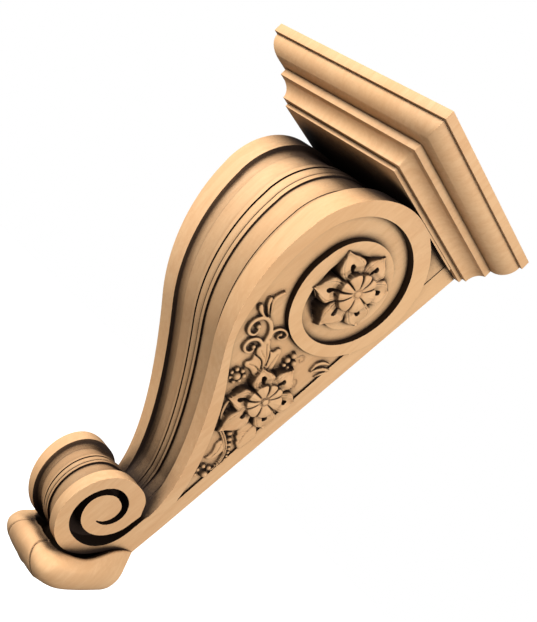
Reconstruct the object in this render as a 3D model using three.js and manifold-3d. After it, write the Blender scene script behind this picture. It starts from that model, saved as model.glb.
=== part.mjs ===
import * as THREE from "three";
import { mergeVertices } from "three/addons/utils/BufferGeometryUtils.js";
import Module from "manifold-3d";

const wasm = await Module();
wasm.setup();

// Frame: millimetres, Z up, wall plane at Y 0, front toward -Y, origin on the body's flat back.
// Levels below are measured down from the top of the cap and moved up by ORIGIN_DROP at the end.
const ORIGIN_DROP = 200;

// Cap, an abacus with mouldings mitred round the front and both sides
const CAP_WIDTH = 200;
const CAP_DEPTH = 166.7;
const SLAB_HEIGHT = 6;
const QUIRK_INSET = 5.5;
const QUIRK_HEIGHT = 2;
const OVOLO_RADIUS = 14;
const OVOLO_INSET = 4;
const FILLET_INSET = 19.4;
const FILLET_HEIGHT = 6;
const CAVETTO_RADIUS = 11.3;
const CAVETTO_INSET = 29.3;
const STEP_INSET = 33.5;
const STEP_HEIGHT = 3.4;
const MOULDING_STEPS = 5;

// Clearance between the cap and the body
const JOINT_GAP = 0.3;

// Body, drawn as its side view in Y and Z at full width and then tapered in width
const HALF_TOP = 66.3;
const TAPER = 0.125;
const SCROLL_Y = -74.5;
const SCROLL_RADIUS = 67.2;
const SWELL_RADIUS = 128.7;
const SWELL_Y = SCROLL_Y - SCROLL_RADIUS + SWELL_RADIUS;
const SWELL_ANGLE = 46;
const TOE_Y = -19.5;
const TOE_LEVEL = -334;
const RUN_PULL = 56;
const TOE_PULL = 36;
const THROAT_LEVEL = -342;
const HEEL_DEPTH = 14;
const HEEL_LEVEL = -399;
const HEEL_RISE = 34;
const SCROLL_STEP = 10;
const RUN_STEPS = 11;

// Channelled front: share of the half width and depth below the outer bands
const BAND_EDGE = 0.66;
const BAND_WALL = 3.2;
const COVE_EDGE = 0.52;
const COVE_DEPTH = 5.8;
const FIELD_LIP = 0.6;
const RIDGE_HALF = 0.165;
const RIDGE_FOOT = 4.8;
const RIDGE_TOP = 3.2;
const RIDGE_GROOVE = 4.6;
const BEAD_HALF = 0.085;
const BEAD_TOP = 2.8;

// Side ribbon and sunk panel
const RIBBON = 11;
const STRIP = 12.5;
const STRIP_TOP = 18;
const STRIP_LEVEL = -312;
const STRIP_DROP = 5.3;
const GROUND_DROP = 3;
// How far the sunk grounds run under the strip's edge, so that no thin wall stays between two cuts
const GROUND_OVERLAP = 0.3;

// Large volute: radii from its centre at every eighth of a turn, clockwise from the named side
const EYE_Y = -74.5;
const EYE_LEVEL = -112;
const GROOVE_OUTER = [56.5, 56, 54, 54.2, 54, 51.5, 42.5, 29.5];
const DISC_OUTER = [35.5, 36.3, 37, 37.6, 39.8, 37.2, 28];
const RING_OUTER = [66, 62, 53.5, 41.5, 35.5];
const EYE_SINK_Y = -72;
const EYE_SINK_RADIUS = 27;
const EYE_SINK_DEPTH = 1;

// Small volute: radii of its outer edge and of both edges of its spiral groove
const CURL_Y = -53;
const CURL_LEVEL = -348;
const CURL_OUTER = [29, 28, 31, 35, 39.5, 43, 41.2];
const THROAT_OUTER = [32.7, 34.8, 31.5, 29, 25, 21, 17, 15.7, 15.5, 14, 12];
const THROAT_INNER = [26.7, 24.4, 22, 20.5, 19, 14.5, 10.8, 10, 9.3, 9.9, 11];
const THROAT_DEPTH = 36;

// Leaf cup below the small volute: half of it, as rows from the lip down to the middle of the underside
// Each point is half width, distance out from the wall and level under the volute's centre
const CUP_FLANK = [
  [
    [26.4, 0, 15], [31, 0, 24], [35, 0, 32], [36, 0, 38.5],
    [34, 0, 46.5], [27, 0, 54], [14, 0, 59], [0, 0, 61],
  ],
  [
    [31, 18, 22], [35.5, 19, 31], [38.5, 20, 40], [38.5, 20, 49],
    [35, 20, 57], [27, 20, 64], [14, 20, 69], [0, 20, 70.5],
  ],
  [
    [33, 35.5, 38], [36.5, 37, 43], [38.7, 39, 49], [38.5, 40, 57],
    [34.5, 39, 65], [27, 37, 70], [13.5, 35.5, 73], [0, 35, 74],
  ],
  [
    [27, 50, 45], [31, 53, 48.5], [34.5, 55.5, 53], [35, 56.5, 60.5],
    [31.5, 54.5, 67], [23, 50, 72], [11.5, 45.5, 74.5], [0, 43, 75],
  ],
  [
    [18, 56, 48], [22.5, 61, 51], [26.5, 64, 55], [28, 64, 62],
    [26, 59, 68.5], [20, 52.5, 72.5], [9, 47, 74.5], [0, 44.5, 75],
  ],
  [
    [11, 58, 49], [15, 62.5, 52], [18.5, 64, 56], [20, 62, 61],
    [20, 56.5, 65.5], [17, 51, 70], [8, 46.5, 73.5], [0, 45, 74.5],
  ],
];
const CUP_FRONT = [
  [
    [6, 62, 47], [8, 67, 50], [9.5, 70, 55], [9.5, 69, 61],
    [8.5, 64, 67], [7, 57, 71.5], [3.5, 50, 74], [0, 46, 75],
  ],
  [
    [0, 63, 46], [0, 68, 49], [0, 71.5, 54], [0, 71, 60.5],
    [0, 65.5, 67], [0, 58, 71.5], [0, 52, 74], [0, 47, 75],
  ],
];
const CUP_ROW_STEPS = 2;
const CUP_POINT_STEPS = 2;
const CUP_FLOOR = 9;
const CUP_OVERLAP = 0.5;

// Rosettes: centre, petal length, corolla
const ROSETTE_PETALS = 6;
const ROSETTE_START = 39;
const ROSETTE_TIP = 34;
const ROSETTE_PETAL_HALF = 13;
const COROLLA_RADIUS = 16.5;
const COROLLA_LOBES = 8;
const COROLLA_HEIGHT = 6.5;
const BUTTON_RADIUS = 3.4;
const ROSETTE_ONE = [-71, -113];
const ROSETTE_TWO = [-42, -211];
const ROSETTE_TWO_SHARE = 0.86;

const rad = THREE.MathUtils.degToRad;

// Closed solid of a geometry, turned face out
function solid(geometry) {
  const bare = geometry.clone();
  bare.deleteAttribute("normal");
  bare.deleteAttribute("uv");
  const merged = mergeVertices(bare, 1e-4);
  const triVerts = new Uint32Array(merged.index.array);
  const vertProperties = new Float32Array(merged.attributes.position.array);
  const made = new wasm.Manifold(new wasm.Mesh({ numProp: 3, vertProperties, triVerts }));
  if (made.volume() > 0) return made;
  for (let i = 0; i < triVerts.length; i += 3) {
    const kept = triVerts[i + 1];
    triVerts[i + 1] = triVerts[i + 2];
    triVerts[i + 2] = kept;
  }
  return new wasm.Manifold(new wasm.Mesh({ numProp: 3, vertProperties, triVerts }));
}

// Geometry of a closed solid
function geometryOf(made) {
  const mesh = made.getMesh();
  const points = new Float32Array(mesh.vertProperties.length);
  points.set(mesh.vertProperties);
  const geometry = new THREE.BufferGeometry();
  geometry.setAttribute("position", new THREE.BufferAttribute(points, 3));
  geometry.setIndex(Array.from(mesh.triVerts));
  return geometry;
}

// Triangles of an end row, wound the same way as the row
function capOf(row) {
  const flat = row.map((p) => new THREE.Vector2(p[1], p[2]));
  const faces = THREE.ShapeUtils.triangulateShape(flat, []);
  const area = faces.reduce((sum, t) => sum + THREE.ShapeUtils.area(t.map((i) => flat[i])), 0);
  const alike = area * THREE.ShapeUtils.area(flat) > 0;
  return alike ? faces : faces.map((t) => [t[0], t[2], t[1]]);
}

// Surface through rows of points, each row closed or open, with both end rows capped if asked
function loft(rows, capped) {
  const count = rows[0].length;
  const points = [];
  const faces = [];
  rows.forEach((row) => row.forEach((p) => points.push(...p)));
  for (let i = 0; i + 1 < rows.length; i += 1) {
    for (let j = 0; j < count; j += 1) {
      const a = i * count + j;
      const b = i * count + ((j + 1) % count);
      faces.push(a, b, b + count, a, b + count, a + count);
    }
  }
  if (capped) {
    const last = (rows.length - 1) * count;
    capOf(rows[0]).forEach((t) => faces.push(t[0], t[2], t[1]));
    capOf(rows[rows.length - 1]).forEach((t) => faces.push(last + t[0], last + t[1], last + t[2]));
  }
  const geometry = new THREE.BufferGeometry();
  geometry.setAttribute("position", new THREE.Float32BufferAttribute(points, 3));
  geometry.setIndex(faces);
  return geometry;
}

// Prism of a side view outline between two widths, made with the outline running anticlockwise
function prism(outline, from, to) {
  const ring = THREE.ShapeUtils.area(outline.map((p) => new THREE.Vector2(...p))) < 0
    ? outline.slice().reverse()
    : outline;
  const level = (x) => ring.map((p) => [typeof x === "function" ? x(p) : x, p[0], p[1]]);
  return solid(loft([level(from), level(to)], true));
}

// Smooth value between radii given at every eighth of a turn
function radiusAt(radii, eighths) {
  const i = Math.min(Math.max(Math.floor(eighths), 0), radii.length - 2);
  const t = eighths - i;
  const a = radii[Math.max(i - 1, 0)];
  const b = radii[i];
  const c = radii[i + 1];
  const d = radii[Math.min(i + 2, radii.length - 1)];
  const bend = (2 * a - 5 * b + 4 * c - d) * t * t + (3 * b - a - 3 * c + d) * t * t * t;
  return 0.5 * (2 * b + (c - a) * t + bend);
}

// Points of a spiral run from a start angle through its list of radii, clockwise for a sense of -1
function spiral(y, level, start, radii, step, sense = -1) {
  const last = radii.length - 1;
  const count = Math.max(2, Math.round((last * 45) / step));
  return Array.from({ length: count + 1 }, (_, k) => {
    const eighths = (last * k) / count;
    const turn = rad(start + sense * 45 * eighths);
    const r = radiusAt(radii, eighths);
    return [y + r * Math.cos(turn), level + r * Math.sin(turn)];
  });
}

const capHeight = SLAB_HEIGHT + QUIRK_HEIGHT + OVOLO_RADIUS + FILLET_HEIGHT + CAVETTO_RADIUS + STEP_HEIGHT;
const capUnder = -capHeight;
const bodyTop = capUnder - JOINT_GAP;
const scrollLevel = bodyTop - SCROLL_RADIUS;
const halfAt = (level) => HALF_TOP - TAPER * (bodyTop - level);

// The cap's profile as pairs of inset and level
function capProfile() {
  const path = [[0, 0], [0, -SLAB_HEIGHT], [QUIRK_INSET, -SLAB_HEIGHT]];
  let level = -SLAB_HEIGHT - QUIRK_HEIGHT;
  path.push([QUIRK_INSET, level], [OVOLO_INSET, level]);
  for (let k = 1; k <= MOULDING_STEPS; k += 1) {
    const turn = rad((90 * k) / MOULDING_STEPS);
    const inset = OVOLO_INSET + OVOLO_RADIUS * (1 - Math.cos(turn));
    path.push([inset, level - OVOLO_RADIUS * Math.sin(turn)]);
  }
  level -= OVOLO_RADIUS;
  path.push([FILLET_INSET, level]);
  level -= FILLET_HEIGHT;
  path.push([FILLET_INSET, level]);
  for (let k = 1; k <= MOULDING_STEPS; k += 1) {
    const turn = rad((90 * k) / MOULDING_STEPS);
    const start = CAVETTO_INSET - CAVETTO_RADIUS;
    const inset = Math.max(start + CAVETTO_RADIUS * Math.sin(turn), FILLET_INSET + 0.2);
    path.push([inset, level - CAVETTO_RADIUS * (1 - Math.cos(turn))]);
  }
  level -= CAVETTO_RADIUS;
  path.push([STEP_INSET, level], [STEP_INSET, level - STEP_HEIGHT]);
  return path;
}

function makeCap() {
  const half = CAP_WIDTH / 2;
  const row = ([inset, level]) => [
    [half - inset, 0, level],
    [half - inset, -CAP_DEPTH + inset, level],
    [-half + inset, -CAP_DEPTH + inset, level],
    [-half + inset, 0, level],
  ];
  const rows = capProfile().map(row);
  const geometry = loft(rows, false);
  const faces = Array.from(geometry.index.array);
  const last = (rows.length - 1) * 4;
  faces.push(0, 2, 1, 0, 3, 2);
  faces.push(last, last + 1, last + 2, last, last + 2, last + 3);
  geometry.setIndex(faces);
  return solid(geometry);
}

// Rim of the S-shaped front, from the top of the large volute to the throat
function frontRim() {
  const rim = [];
  for (let a = 90; a < 176; a += SCROLL_STEP) {
    const turn = rad(a);
    rim.push([SCROLL_Y + SCROLL_RADIUS * Math.cos(turn), scrollLevel + SCROLL_RADIUS * Math.sin(turn)]);
  }
  const swellLevel = scrollLevel - 6;
  for (let a = 0; a < SWELL_ANGLE; a += SCROLL_STEP) {
    const turn = rad(180 + a);
    rim.push([SWELL_Y + SWELL_RADIUS * Math.cos(turn), swellLevel + SWELL_RADIUS * Math.sin(turn)]);
  }
  const turn = rad(180 + SWELL_ANGLE);
  const y = SWELL_Y + SWELL_RADIUS * Math.cos(turn);
  const level = swellLevel + SWELL_RADIUS * Math.sin(turn);
  const run = new THREE.CubicBezierCurve(
    new THREE.Vector2(y, level),
    new THREE.Vector2(y - RUN_PULL * Math.sin(turn), level + RUN_PULL * Math.cos(turn)),
    new THREE.Vector2(TOE_Y, TOE_LEVEL + TOE_PULL),
    new THREE.Vector2(TOE_Y, TOE_LEVEL),
  );
  run.getPoints(RUN_STEPS).forEach((p) => rim.push([p.x, p.y]));
  return rim;
}

// Whole outline of the body as y, level and the share of the front's channel depth it takes
function bodyOutline() {
  const out = [[0, HEEL_LEVEL, 0], [0, bodyTop, 0]];
  const rim = frontRim();
  rim.forEach((p, i) => {
    const share = i === 0 ? 0 : THREE.MathUtils.clamp((p[1] - TOE_LEVEL) / 26, 0.3, 1);
    out.push([p[0], p[1], share]);
  });
  out.push([(TOE_Y + CURL_Y + CURL_OUTER[0]) / 2, THROAT_LEVEL, 0]);
  spiral(CURL_Y, CURL_LEVEL, 45, CURL_OUTER, 15, 1).forEach((p, i) => {
    const share = i < 3 ? i / 3 : THREE.MathUtils.clamp((15 - i) / 3, 0, 1);
    out.push([p[0], p[1], share]);
  });
  out.push([-HEEL_DEPTH, CURL_LEVEL - HEEL_RISE, 0], [-HEEL_DEPTH, HEEL_LEVEL, 0]);
  return out;
}

// Depth of the channelled front at each share of the half width
const channel = [
  [0, BEAD_TOP],
  [BEAD_HALF, RIDGE_GROOVE],
  [BEAD_HALF + 0.015, RIDGE_TOP],
  [RIDGE_HALF, RIDGE_TOP],
  [RIDGE_HALF + 0.015, RIDGE_FOOT],
  [COVE_EDGE - 0.02, COVE_DEPTH - FIELD_LIP],
  [COVE_EDGE, COVE_DEPTH],
  [(BAND_EDGE + COVE_EDGE) / 2, (COVE_DEPTH * 2 + BAND_WALL) / 3],
  [BAND_EDGE - 0.01, BAND_WALL],
  [BAND_EDGE, 0],
  [1, 0],
];

function makeBlank() {
  const outline = bodyOutline();
  const inward = outline.map((p, i) => {
    const a = outline[(i + outline.length - 1) % outline.length];
    const b = outline[(i + 1) % outline.length];
    const run = Math.hypot(b[0] - a[0], b[1] - a[1]);
    return [-(b[1] - a[1]) / run, (b[0] - a[0]) / run];
  });
  const stations = channel.slice(1).reverse().map(([u, d]) => [-u, d]).concat(channel);
  const rows = stations.map(([u, depth]) => outline.map((p, i) => [
    u * HALF_TOP,
    p[0] + inward[i][0] * depth * p[2],
    p[1] + inward[i][1] * depth * p[2],
  ]));
  return solid(loft(rows, true));
}

// Side view path set in from the rim by the ribbon's width
function ribbonInner() {
  const rim = frontRim();
  return rim.slice(1, -1).map((p, i) => {
    const a = rim[i];
    const b = rim[i + 2];
    const run = Math.hypot(b[0] - a[0], b[1] - a[1]);
    return [p[0] - ((b[1] - a[1]) / run) * RIBBON, p[1] + ((b[0] - a[0]) / run) * RIBBON];
  });
}

const stripAt = (level) => -THREE.MathUtils.mapLinear(level, bodyTop, STRIP_LEVEL, STRIP_TOP, STRIP);
const reach = HALF_TOP + 20;

// Full width place of the strip's face and of the sunk ground at a level, before the body is tapered
const widened = (depth, level) => HALF_TOP - (depth * HALF_TOP) / halfAt(level);
const stripDrop = (level) => (STRIP_DROP * Math.max(level - TOE_LEVEL, 0)) / (bodyTop - TOE_LEVEL);
const stripFace = (level) => widened(stripDrop(level), level);
const ground = (level) => widened(stripDrop(level) + GROUND_DROP, level);

// Ground of the large volute's spiral groove
function grooveOutline() {
  const outer = spiral(EYE_Y, EYE_LEVEL, 180, GROOVE_OUTER, 15);
  const inner = spiral(EYE_Y, EYE_LEVEL, 180, DISC_OUTER, 17);
  return outer.concat(inner.reverse());
}

// Ground of the panel between the ribbon, the volute's ring and the back strip
function panelOutline() {
  const run = ribbonInner().filter((p) => p[1] < EYE_LEVEL - 1 && p[0] < stripAt(p[1]));
  const ring = spiral(EYE_Y, EYE_LEVEL, 0, RING_OUTER, 15).filter((p) => p[0] < stripAt(p[1]));
  const top = ring[0];
  const start = spiral(EYE_Y, EYE_LEVEL, 180, GROOVE_OUTER, 15)[0];
  const foot = [stripAt(STRIP_LEVEL) + GROUND_OVERLAP, STRIP_LEVEL];
  return [start, ...run, foot, [stripAt(top[1]) + GROUND_OVERLAP, top[1]], ...ring];
}

// Face of the back strip, which the volute's ring overlaps
function stripOutline() {
  return [[stripAt(TOE_LEVEL), TOE_LEVEL], [2, TOE_LEVEL], [2, bodyTop + 1], [stripAt(bodyTop), bodyTop + 1]];
}

// Ground of the small corner between the cap, the volute's ring and the back strip
function spandrelOutline() {
  const arc = [];
  for (let a = 74; a > 24; a -= SCROLL_STEP / 2) {
    const turn = rad(a);
    arc.push([SCROLL_Y + SCROLL_RADIUS * Math.cos(turn), scrollLevel + SCROLL_RADIUS * Math.sin(turn)]);
  }
  const kept = arc.filter((p) => p[0] < stripAt(p[1]));
  const low = kept[kept.length - 1];
  const upper = bodyTop - 1.5;
  const foot = [stripAt(low[1]) + GROUND_OVERLAP, low[1] - 2];
  return [...kept, foot, [stripAt(bodyTop) + GROUND_OVERLAP, upper], [kept[0][0], upper]];
}

// Spiral slot of the small volute
function throatOutline() {
  const outer = spiral(CURL_Y, CURL_LEVEL, 0, THROAT_OUTER, 18);
  const inner = spiral(CURL_Y, CURL_LEVEL, 0, THROAT_INNER, 18);
  const mouth = [CURL_Y + THROAT_OUTER[0], TOE_LEVEL + 8];
  return [[CURL_Y + THROAT_INNER[0] + 1.5, TOE_LEVEL + 8], mouth, ...outer, ...inner.reverse()];
}

const eyeFloor = ground(EYE_LEVEL) - EYE_SINK_DEPTH;

// Raised form with a foot outline and a smaller top, on the side face
function raised(foot, share, from, to) {
  const y = foot.reduce((s, p) => s + p[0], 0) / foot.length;
  const level = foot.reduce((s, p) => s + p[1], 0) / foot.length;
  const ring = THREE.ShapeUtils.area(foot.map((p) => new THREE.Vector2(...p))) < 0
    ? foot.slice().reverse()
    : foot;
  const low = ring.map((p) => [from, p[0], p[1]]);
  const mid = ring.map((p) => [
    from + (to - from) * 0.7,
    y + (p[0] - y) * (1 + share) * 0.5,
    level + (p[1] - level) * (1 + share) * 0.5,
  ]);
  const high = ring.map((p) => [to, y + (p[0] - y) * share, level + (p[1] - level) * share]);
  return solid(loft(ring.length > 15 ? [low, mid, high] : [low, high], true));
}

// Outline of a leaf from its foot to its tip, widest at a share of its length
function leaf(y, level, angle, length, half, widest = 0.45, cuts = 3) {
  const turn = rad(angle);
  const side = [];
  for (let k = 0; k <= cuts; k += 1) {
    const t = k / cuts;
    const swell = t < widest
      ? Math.sin((t / widest) * 1.5708)
      : Math.cos(((t - widest) / (1 - widest)) * 1.5708);
    side.push([t * length, half * Math.max(swell, 0.12)]);
  }
  const loop = side.concat(side.map(([a, b]) => [a, -b]).reverse());
  return loop.map(([a, b]) => [
    y + a * Math.cos(turn) - b * Math.sin(turn),
    level + a * Math.sin(turn) + b * Math.cos(turn),
  ]);
}

// Disc outline with a lobed edge
function lobed(y, level, radius, lobes, wave, count) {
  return Array.from({ length: count }, (_, k) => {
    const turn = (2 * Math.PI * k) / count;
    const r = radius * (1 - wave + wave * Math.abs(Math.cos((lobes * turn) / 2)));
    return [y + r * Math.cos(turn), level + r * Math.sin(turn)];
  });
}

// A rosette: pointed petals, a lobed corolla and a button
function rosette([y, level], share, foot0) {
  const parts = [];
  for (let k = 0; k < ROSETTE_PETALS; k += 1) {
    const angle = ROSETTE_START + (360 / ROSETTE_PETALS) * k;
    const foot = leaf(y, level, angle, ROSETTE_TIP * share, ROSETTE_PETAL_HALF * share, 0.5, 4);
    parts.push(raised(foot, 0.5, foot0, HALF_TOP + 1.5));
  }
  const corolla = lobed(y, level, COROLLA_RADIUS * share, COROLLA_LOBES, 0.18, 16);
  parts.push(raised(corolla, 0.55, foot0, HALF_TOP + COROLLA_HEIGHT * share));
  const button = lobed(y, level, BUTTON_RADIUS * share, 1, 0, 6);
  parts.push(raised(button, 0.6, HALF_TOP, HALF_TOP + (COROLLA_HEIGHT + 1.4) * share));
  return parts;
}

// Leafwork round the second rosette: leaves as foot, angle, length, half width and height
const leaves = [
  [-78, -204, 112, 26, 8, 0.5],
  [-72, -200, 92, 20, 6.5, 0.5],
  [-74, -208, 160, 16, 6, 0],
  [-101, -170, 84, 19, 3, -1],
  [-101, -170, 140, 21, 3, -1],
  [-102, -171, 164, 18, 3, -1],
  [-36, -232, 305, 22, 6, -1],
  [-47, -232, 262, 20, 5, -1],
  [-38, -252, 318, 22, 4, -1],
  [-30, -168, 58, 14, 3.5, -0.5],
  [-24, -170, 40, 13, 3, -0.5],
];

// Curls as centre, radius and start angle
const curls = [
  [-100, -179, 8.5, 20],
  [-90, -191, 6.5, 60],
  [-81, -170, 5.5, 0],
];

// Berries as centre and radius
const berries = [
  [-76, -214, 4.2],
  [-71, -210, 2.6],
  [-80, -210, 2.4],
  [-55, -173, 3],
  [-50, -177, 3],
  [-21, -282, 3.4],
  [-18, -276, 2.2],
  [-34, -249, 2.6],
  [-29, -253, 2.3],
];

function relief() {
  const parts = rosette(ROSETTE_ONE, 1, eyeFloor - 1);
  parts.push(...rosette(ROSETTE_TWO, ROSETTE_TWO_SHARE, ground(ROSETTE_TWO[1]) - 2));
  leaves.forEach(([y, level, angle, length, half, rise]) => {
    parts.push(raised(leaf(y, level, angle, length, half), 0.4, ground(level) - 2, stripFace(level) + rise));
  });
  curls.forEach(([y, level, radius, start]) => {
    const arc = (r, a) => [y + r * Math.cos(rad(a)), level + r * Math.sin(rad(a))];
    const outer = [];
    const inner = [];
    for (let k = 0; k <= 6; k += 1) {
      const a = start + 48 * k;
      outer.push(arc(radius * (1 - 0.05 * k), a));
      inner.push(arc(radius * (1 - 0.05 * k) - radius * 0.3, a));
    }
    parts.push(prism(outer.concat(inner.reverse()), ground(level) - 2, HALF_TOP - 2.5));
  });
  berries.forEach(([y, level, radius]) => {
    const ball = new THREE.OctahedronGeometry(radius, 1);
    ball.translate(ground(level) + radius * 0.25, y, level);
    parts.push(solid(ball));
  });
  return parts;
}


// Smooth points through those given, with the neighbour beyond the last one if there is one
function smoothed(points, steps, beyond) {
  const through = [points[0], ...points, beyond ?? points[points.length - 1]];
  const out = [];
  for (let i = 1; i + 2 < through.length; i += 1) {
    const [a, b, c, d] = through.slice(i - 1, i + 3);
    for (let k = 0; k < steps; k += 1) {
      const t = k / steps;
      out.push(b.map((_, n) => {
        const bend = (2 * a[n] - 5 * b[n] + 4 * c[n] - d[n]) * t * t
          + (3 * b[n] - a[n] - 3 * c[n] + d[n]) * t * t * t;
        return 0.5 * (2 * b[n] + (c[n] - a[n]) * t + bend);
      }));
    }
  }
  out.push(points[points.length - 1]);
  return out;
}

// One row of the cup's half: down its outside from the lip, then back up the hollow inside
function cupRow(flat) {
  const points = Array.from({ length: flat.length / 3 }, (_, i) => flat.slice(3 * i, 3 * i + 3));
  const outer = smoothed(points, CUP_POINT_STEPS);
  const [x, out, down] = points[0];
  const low = outer[outer.length - 1][2];
  const hollow = [[0.07, -0.8], [0.16, 0.6], [0.26, 4], [0.36, 10]].map(([share, drop]) => [
    x * (1 - share),
    out * (1 - 0.28 * share),
    Math.min(down + drop, low - CUP_FLOOR),
  ]);
  const floor = [0, out * 0.72, low - CUP_FLOOR];
  const row = outer.concat([floor], hollow.reverse());
  return row.map(([half, away, under], i) => {
    const middle = i === outer.length - 1 || i === outer.length || x === 0;
    return [middle ? -CUP_OVERLAP : half, Math.min(-away, 0), CURL_LEVEL - under];
  });
}

// Leaf cup that cradles the small volute, three plump lobes with a seam between each
function makeCup() {
  const flank = CUP_FLANK.map((row) => row.flat());
  const front = [flank[flank.length - 1], ...CUP_FRONT.map((row) => row.flat())];
  const beyond = front[1].map((value, i) => (i % 3 === 0 ? -value : value));
  const rows = smoothed(flank, CUP_ROW_STEPS).concat(smoothed(front, CUP_ROW_STEPS, beyond).slice(1));
  const made = rows.map(cupRow);
  const geometry = loft(made, false);
  const faces = Array.from(geometry.index.array);
  const count = made[0].length;
  const cap = (row, at, flip) => {
    const flat = row.map((p) => new THREE.Vector2(at === 0 ? p[0] : p[1], p[2]));
    THREE.ShapeUtils.triangulateShape(flat, []).forEach((t) => {
      const ends = t.map((i) => at * count + i);
      faces.push(...(flip ? [ends[0], ends[2], ends[1]] : ends));
    });
  };
  const wind = (row, axis) => THREE.ShapeUtils.area(row.map((p) => new THREE.Vector2(p[axis], p[2]))) > 0;
  cap(made[0], 0, wind(made[0], 0));
  cap(made[made.length - 1], made.length - 1, !wind(made[made.length - 1], 1));
  geometry.setIndex(faces);
  const half = solid(geometry);
  return half.add(mirrored(half));
}

function mirrored(made) {
  const geometry = geometryOf(made);
  geometry.scale(-1, 1, 1);
  return solid(geometry);
}

function makeBody() {
  let body = makeBlank();
  const ring = spiral(EYE_Y, EYE_LEVEL, 90, [SCROLL_RADIUS, SCROLL_RADIUS, ...RING_OUTER], 15);
  const onGround = (p) => ground(p[1]);
  let cut = prism(stripOutline(), (p) => stripFace(p[1]), reach);
  cut = cut.subtract(prism(ring, 0, reach + 1));
  cut = cut.add(prism(grooveOutline(), onGround, reach));
  cut = cut.add(prism(panelOutline(), onGround, reach));
  cut = cut.add(prism(spandrelOutline(), onGround, reach));
  cut = cut.add(prism(throatOutline(), HALF_TOP - THROAT_DEPTH, reach));
  const sink = lobed(EYE_SINK_Y, EYE_LEVEL - 1, EYE_SINK_RADIUS, 1, 0, 24);
  cut = cut.add(prism(sink, eyeFloor, reach));
  let carved = null;
  relief().forEach((part) => {
    carved = carved ? carved.add(part) : part;
  });
  body = body.subtract(cut).subtract(mirrored(cut)).add(carved).add(mirrored(carved));
  const geometry = geometryOf(body);
  const position = geometry.attributes.position;
  for (let i = 0; i < position.count; i += 1) {
    position.setX(i, (position.getX(i) * halfAt(position.getZ(i))) / HALF_TOP);
  }
  return solid(geometry).add(makeCup());
}

const wood = new THREE.MeshStandardMaterial({ color: 0xd8a873, roughness: 0.8 });

function node(name, made) {
  const geometry = geometryOf(made).toNonIndexed();
  geometry.translate(0, 0, ORIGIN_DROP);
  geometry.computeVertexNormals();
  const mesh = new THREE.Mesh(geometry, wood);
  mesh.name = name;
  return mesh;
}

const corbel = new THREE.Group();
corbel.name = "corbel";
corbel.add(node("cap", makeCap()));
corbel.add(node("scroll_body", makeBody()));

export default corbel;
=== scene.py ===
import math

import bmesh
import bpy
import numpy as np
from bpy.props import FloatProperty, FloatVectorProperty, IntProperty, PointerProperty
from mathutils import Matrix, Vector


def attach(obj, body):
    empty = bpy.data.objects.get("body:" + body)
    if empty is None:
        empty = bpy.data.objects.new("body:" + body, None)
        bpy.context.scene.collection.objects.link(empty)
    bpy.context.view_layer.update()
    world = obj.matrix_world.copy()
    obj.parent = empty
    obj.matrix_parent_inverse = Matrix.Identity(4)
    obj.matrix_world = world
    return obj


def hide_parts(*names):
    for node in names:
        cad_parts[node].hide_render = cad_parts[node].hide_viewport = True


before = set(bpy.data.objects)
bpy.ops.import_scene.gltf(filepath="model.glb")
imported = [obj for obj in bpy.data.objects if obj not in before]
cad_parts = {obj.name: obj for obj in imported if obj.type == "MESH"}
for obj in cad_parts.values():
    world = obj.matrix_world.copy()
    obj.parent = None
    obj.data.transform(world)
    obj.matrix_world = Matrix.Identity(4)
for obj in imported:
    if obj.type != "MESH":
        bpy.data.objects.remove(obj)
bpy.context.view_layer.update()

bl_info = {
    "name": "Carved Scroll Corbel",
    "version": (1, 0, 0),
    "blender": (4, 5, 0),
    "location": "View3D > Sidebar > Corbel",
    "description": "Carved wooden corbel with a moulded cap, scroll body, side carving and leaf cup",
    "category": "Object",
}

# Lengths here are millimetres, levels run down from the top of the cap
DROP = 200.0

# The cap's mouldings, as insets from its top edge and heights
SLAB_LEVEL = -8.0
SLAB_INSET = 2.6
OVOLO_STRETCH = 1.4
FILLET_INSET = 19.4
FILLET = 6
CAVETTO_INSET = 29.3
FOOT_INSET = 33.5
FOOT = 3.4

# The body's side view
BODY_TOP = -43.0
HALF_TOP = 66.3
TAPER = 0.125
SCROLL_Y = -74.5
SCROLL_RADIUS = 67.2
SCROLL_LEVEL = BODY_TOP - SCROLL_RADIUS
SWELL_Y = -13.0
SWELL_RADIUS = 128.7
SWELL_ANGLE = 46
SWELL_LOWER = 6
TOE_Y = -19.5
TOE_LEVEL = -334.0
RUN_PULL = 56.0
TOE_PULL = 36.0
THROAT_LEVEL = -342.0
HEEL_DEPTH = 14.0
HEEL_LEVEL = -399.0

# The large volute's spirals, as radii at every eighth of a turn
EYE = (-74.5, -112.0)
GROOVE_OUTER = [56.5, 56, 54, 54.2, 54, 51.5, 42.5, 29.5]
DISC_OUTER = [35.5, 36.3, 37, 37.6, 39.8, 37.2, 28]
RING_OUTER = [66, 62, 53.5, 41.5, 35.5]
EYE_SINK = (-72.0, -113.0)
EYE_SINK_RADIUS = 27.0
EYE_SINK_DEPTH = 3.6

# A petal's half widths from its root to its tip, and the angles of a flower heart's creases
PETAL_WIDTHS = [0.2, 0.3, 0.45, 0.62, 0.78, 0.91, 1.0, 0.93, 0.64, 0.23, 0.02]
CREASES = [0, 60, 95, 130, 180, 215, 245, 300]

# The small volute's spirals
CURL = (-53.0, -348.0)
CURL_OUTER = [29, 28, 31, 35, 39.5, 43, 41.2]
THROAT_OUTER = [32.7, 34.8, 31.5, 29, 25, 21, 17, 15.7, 15.5, 14, 12]
THROAT_INNER = [26.7, 24.4, 22, 20.5, 19, 14.5, 10.8, 10, 9.3, 9.9, 11]
THROAT_DEPTH = 36.0

# The side strip at the back
STRIP = 12.5
STRIP_TOP = 18.0
STRIP_LEVEL = -312.0
STRIP_DROP = 5.3
GROUND_DROP = 1.7

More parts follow.
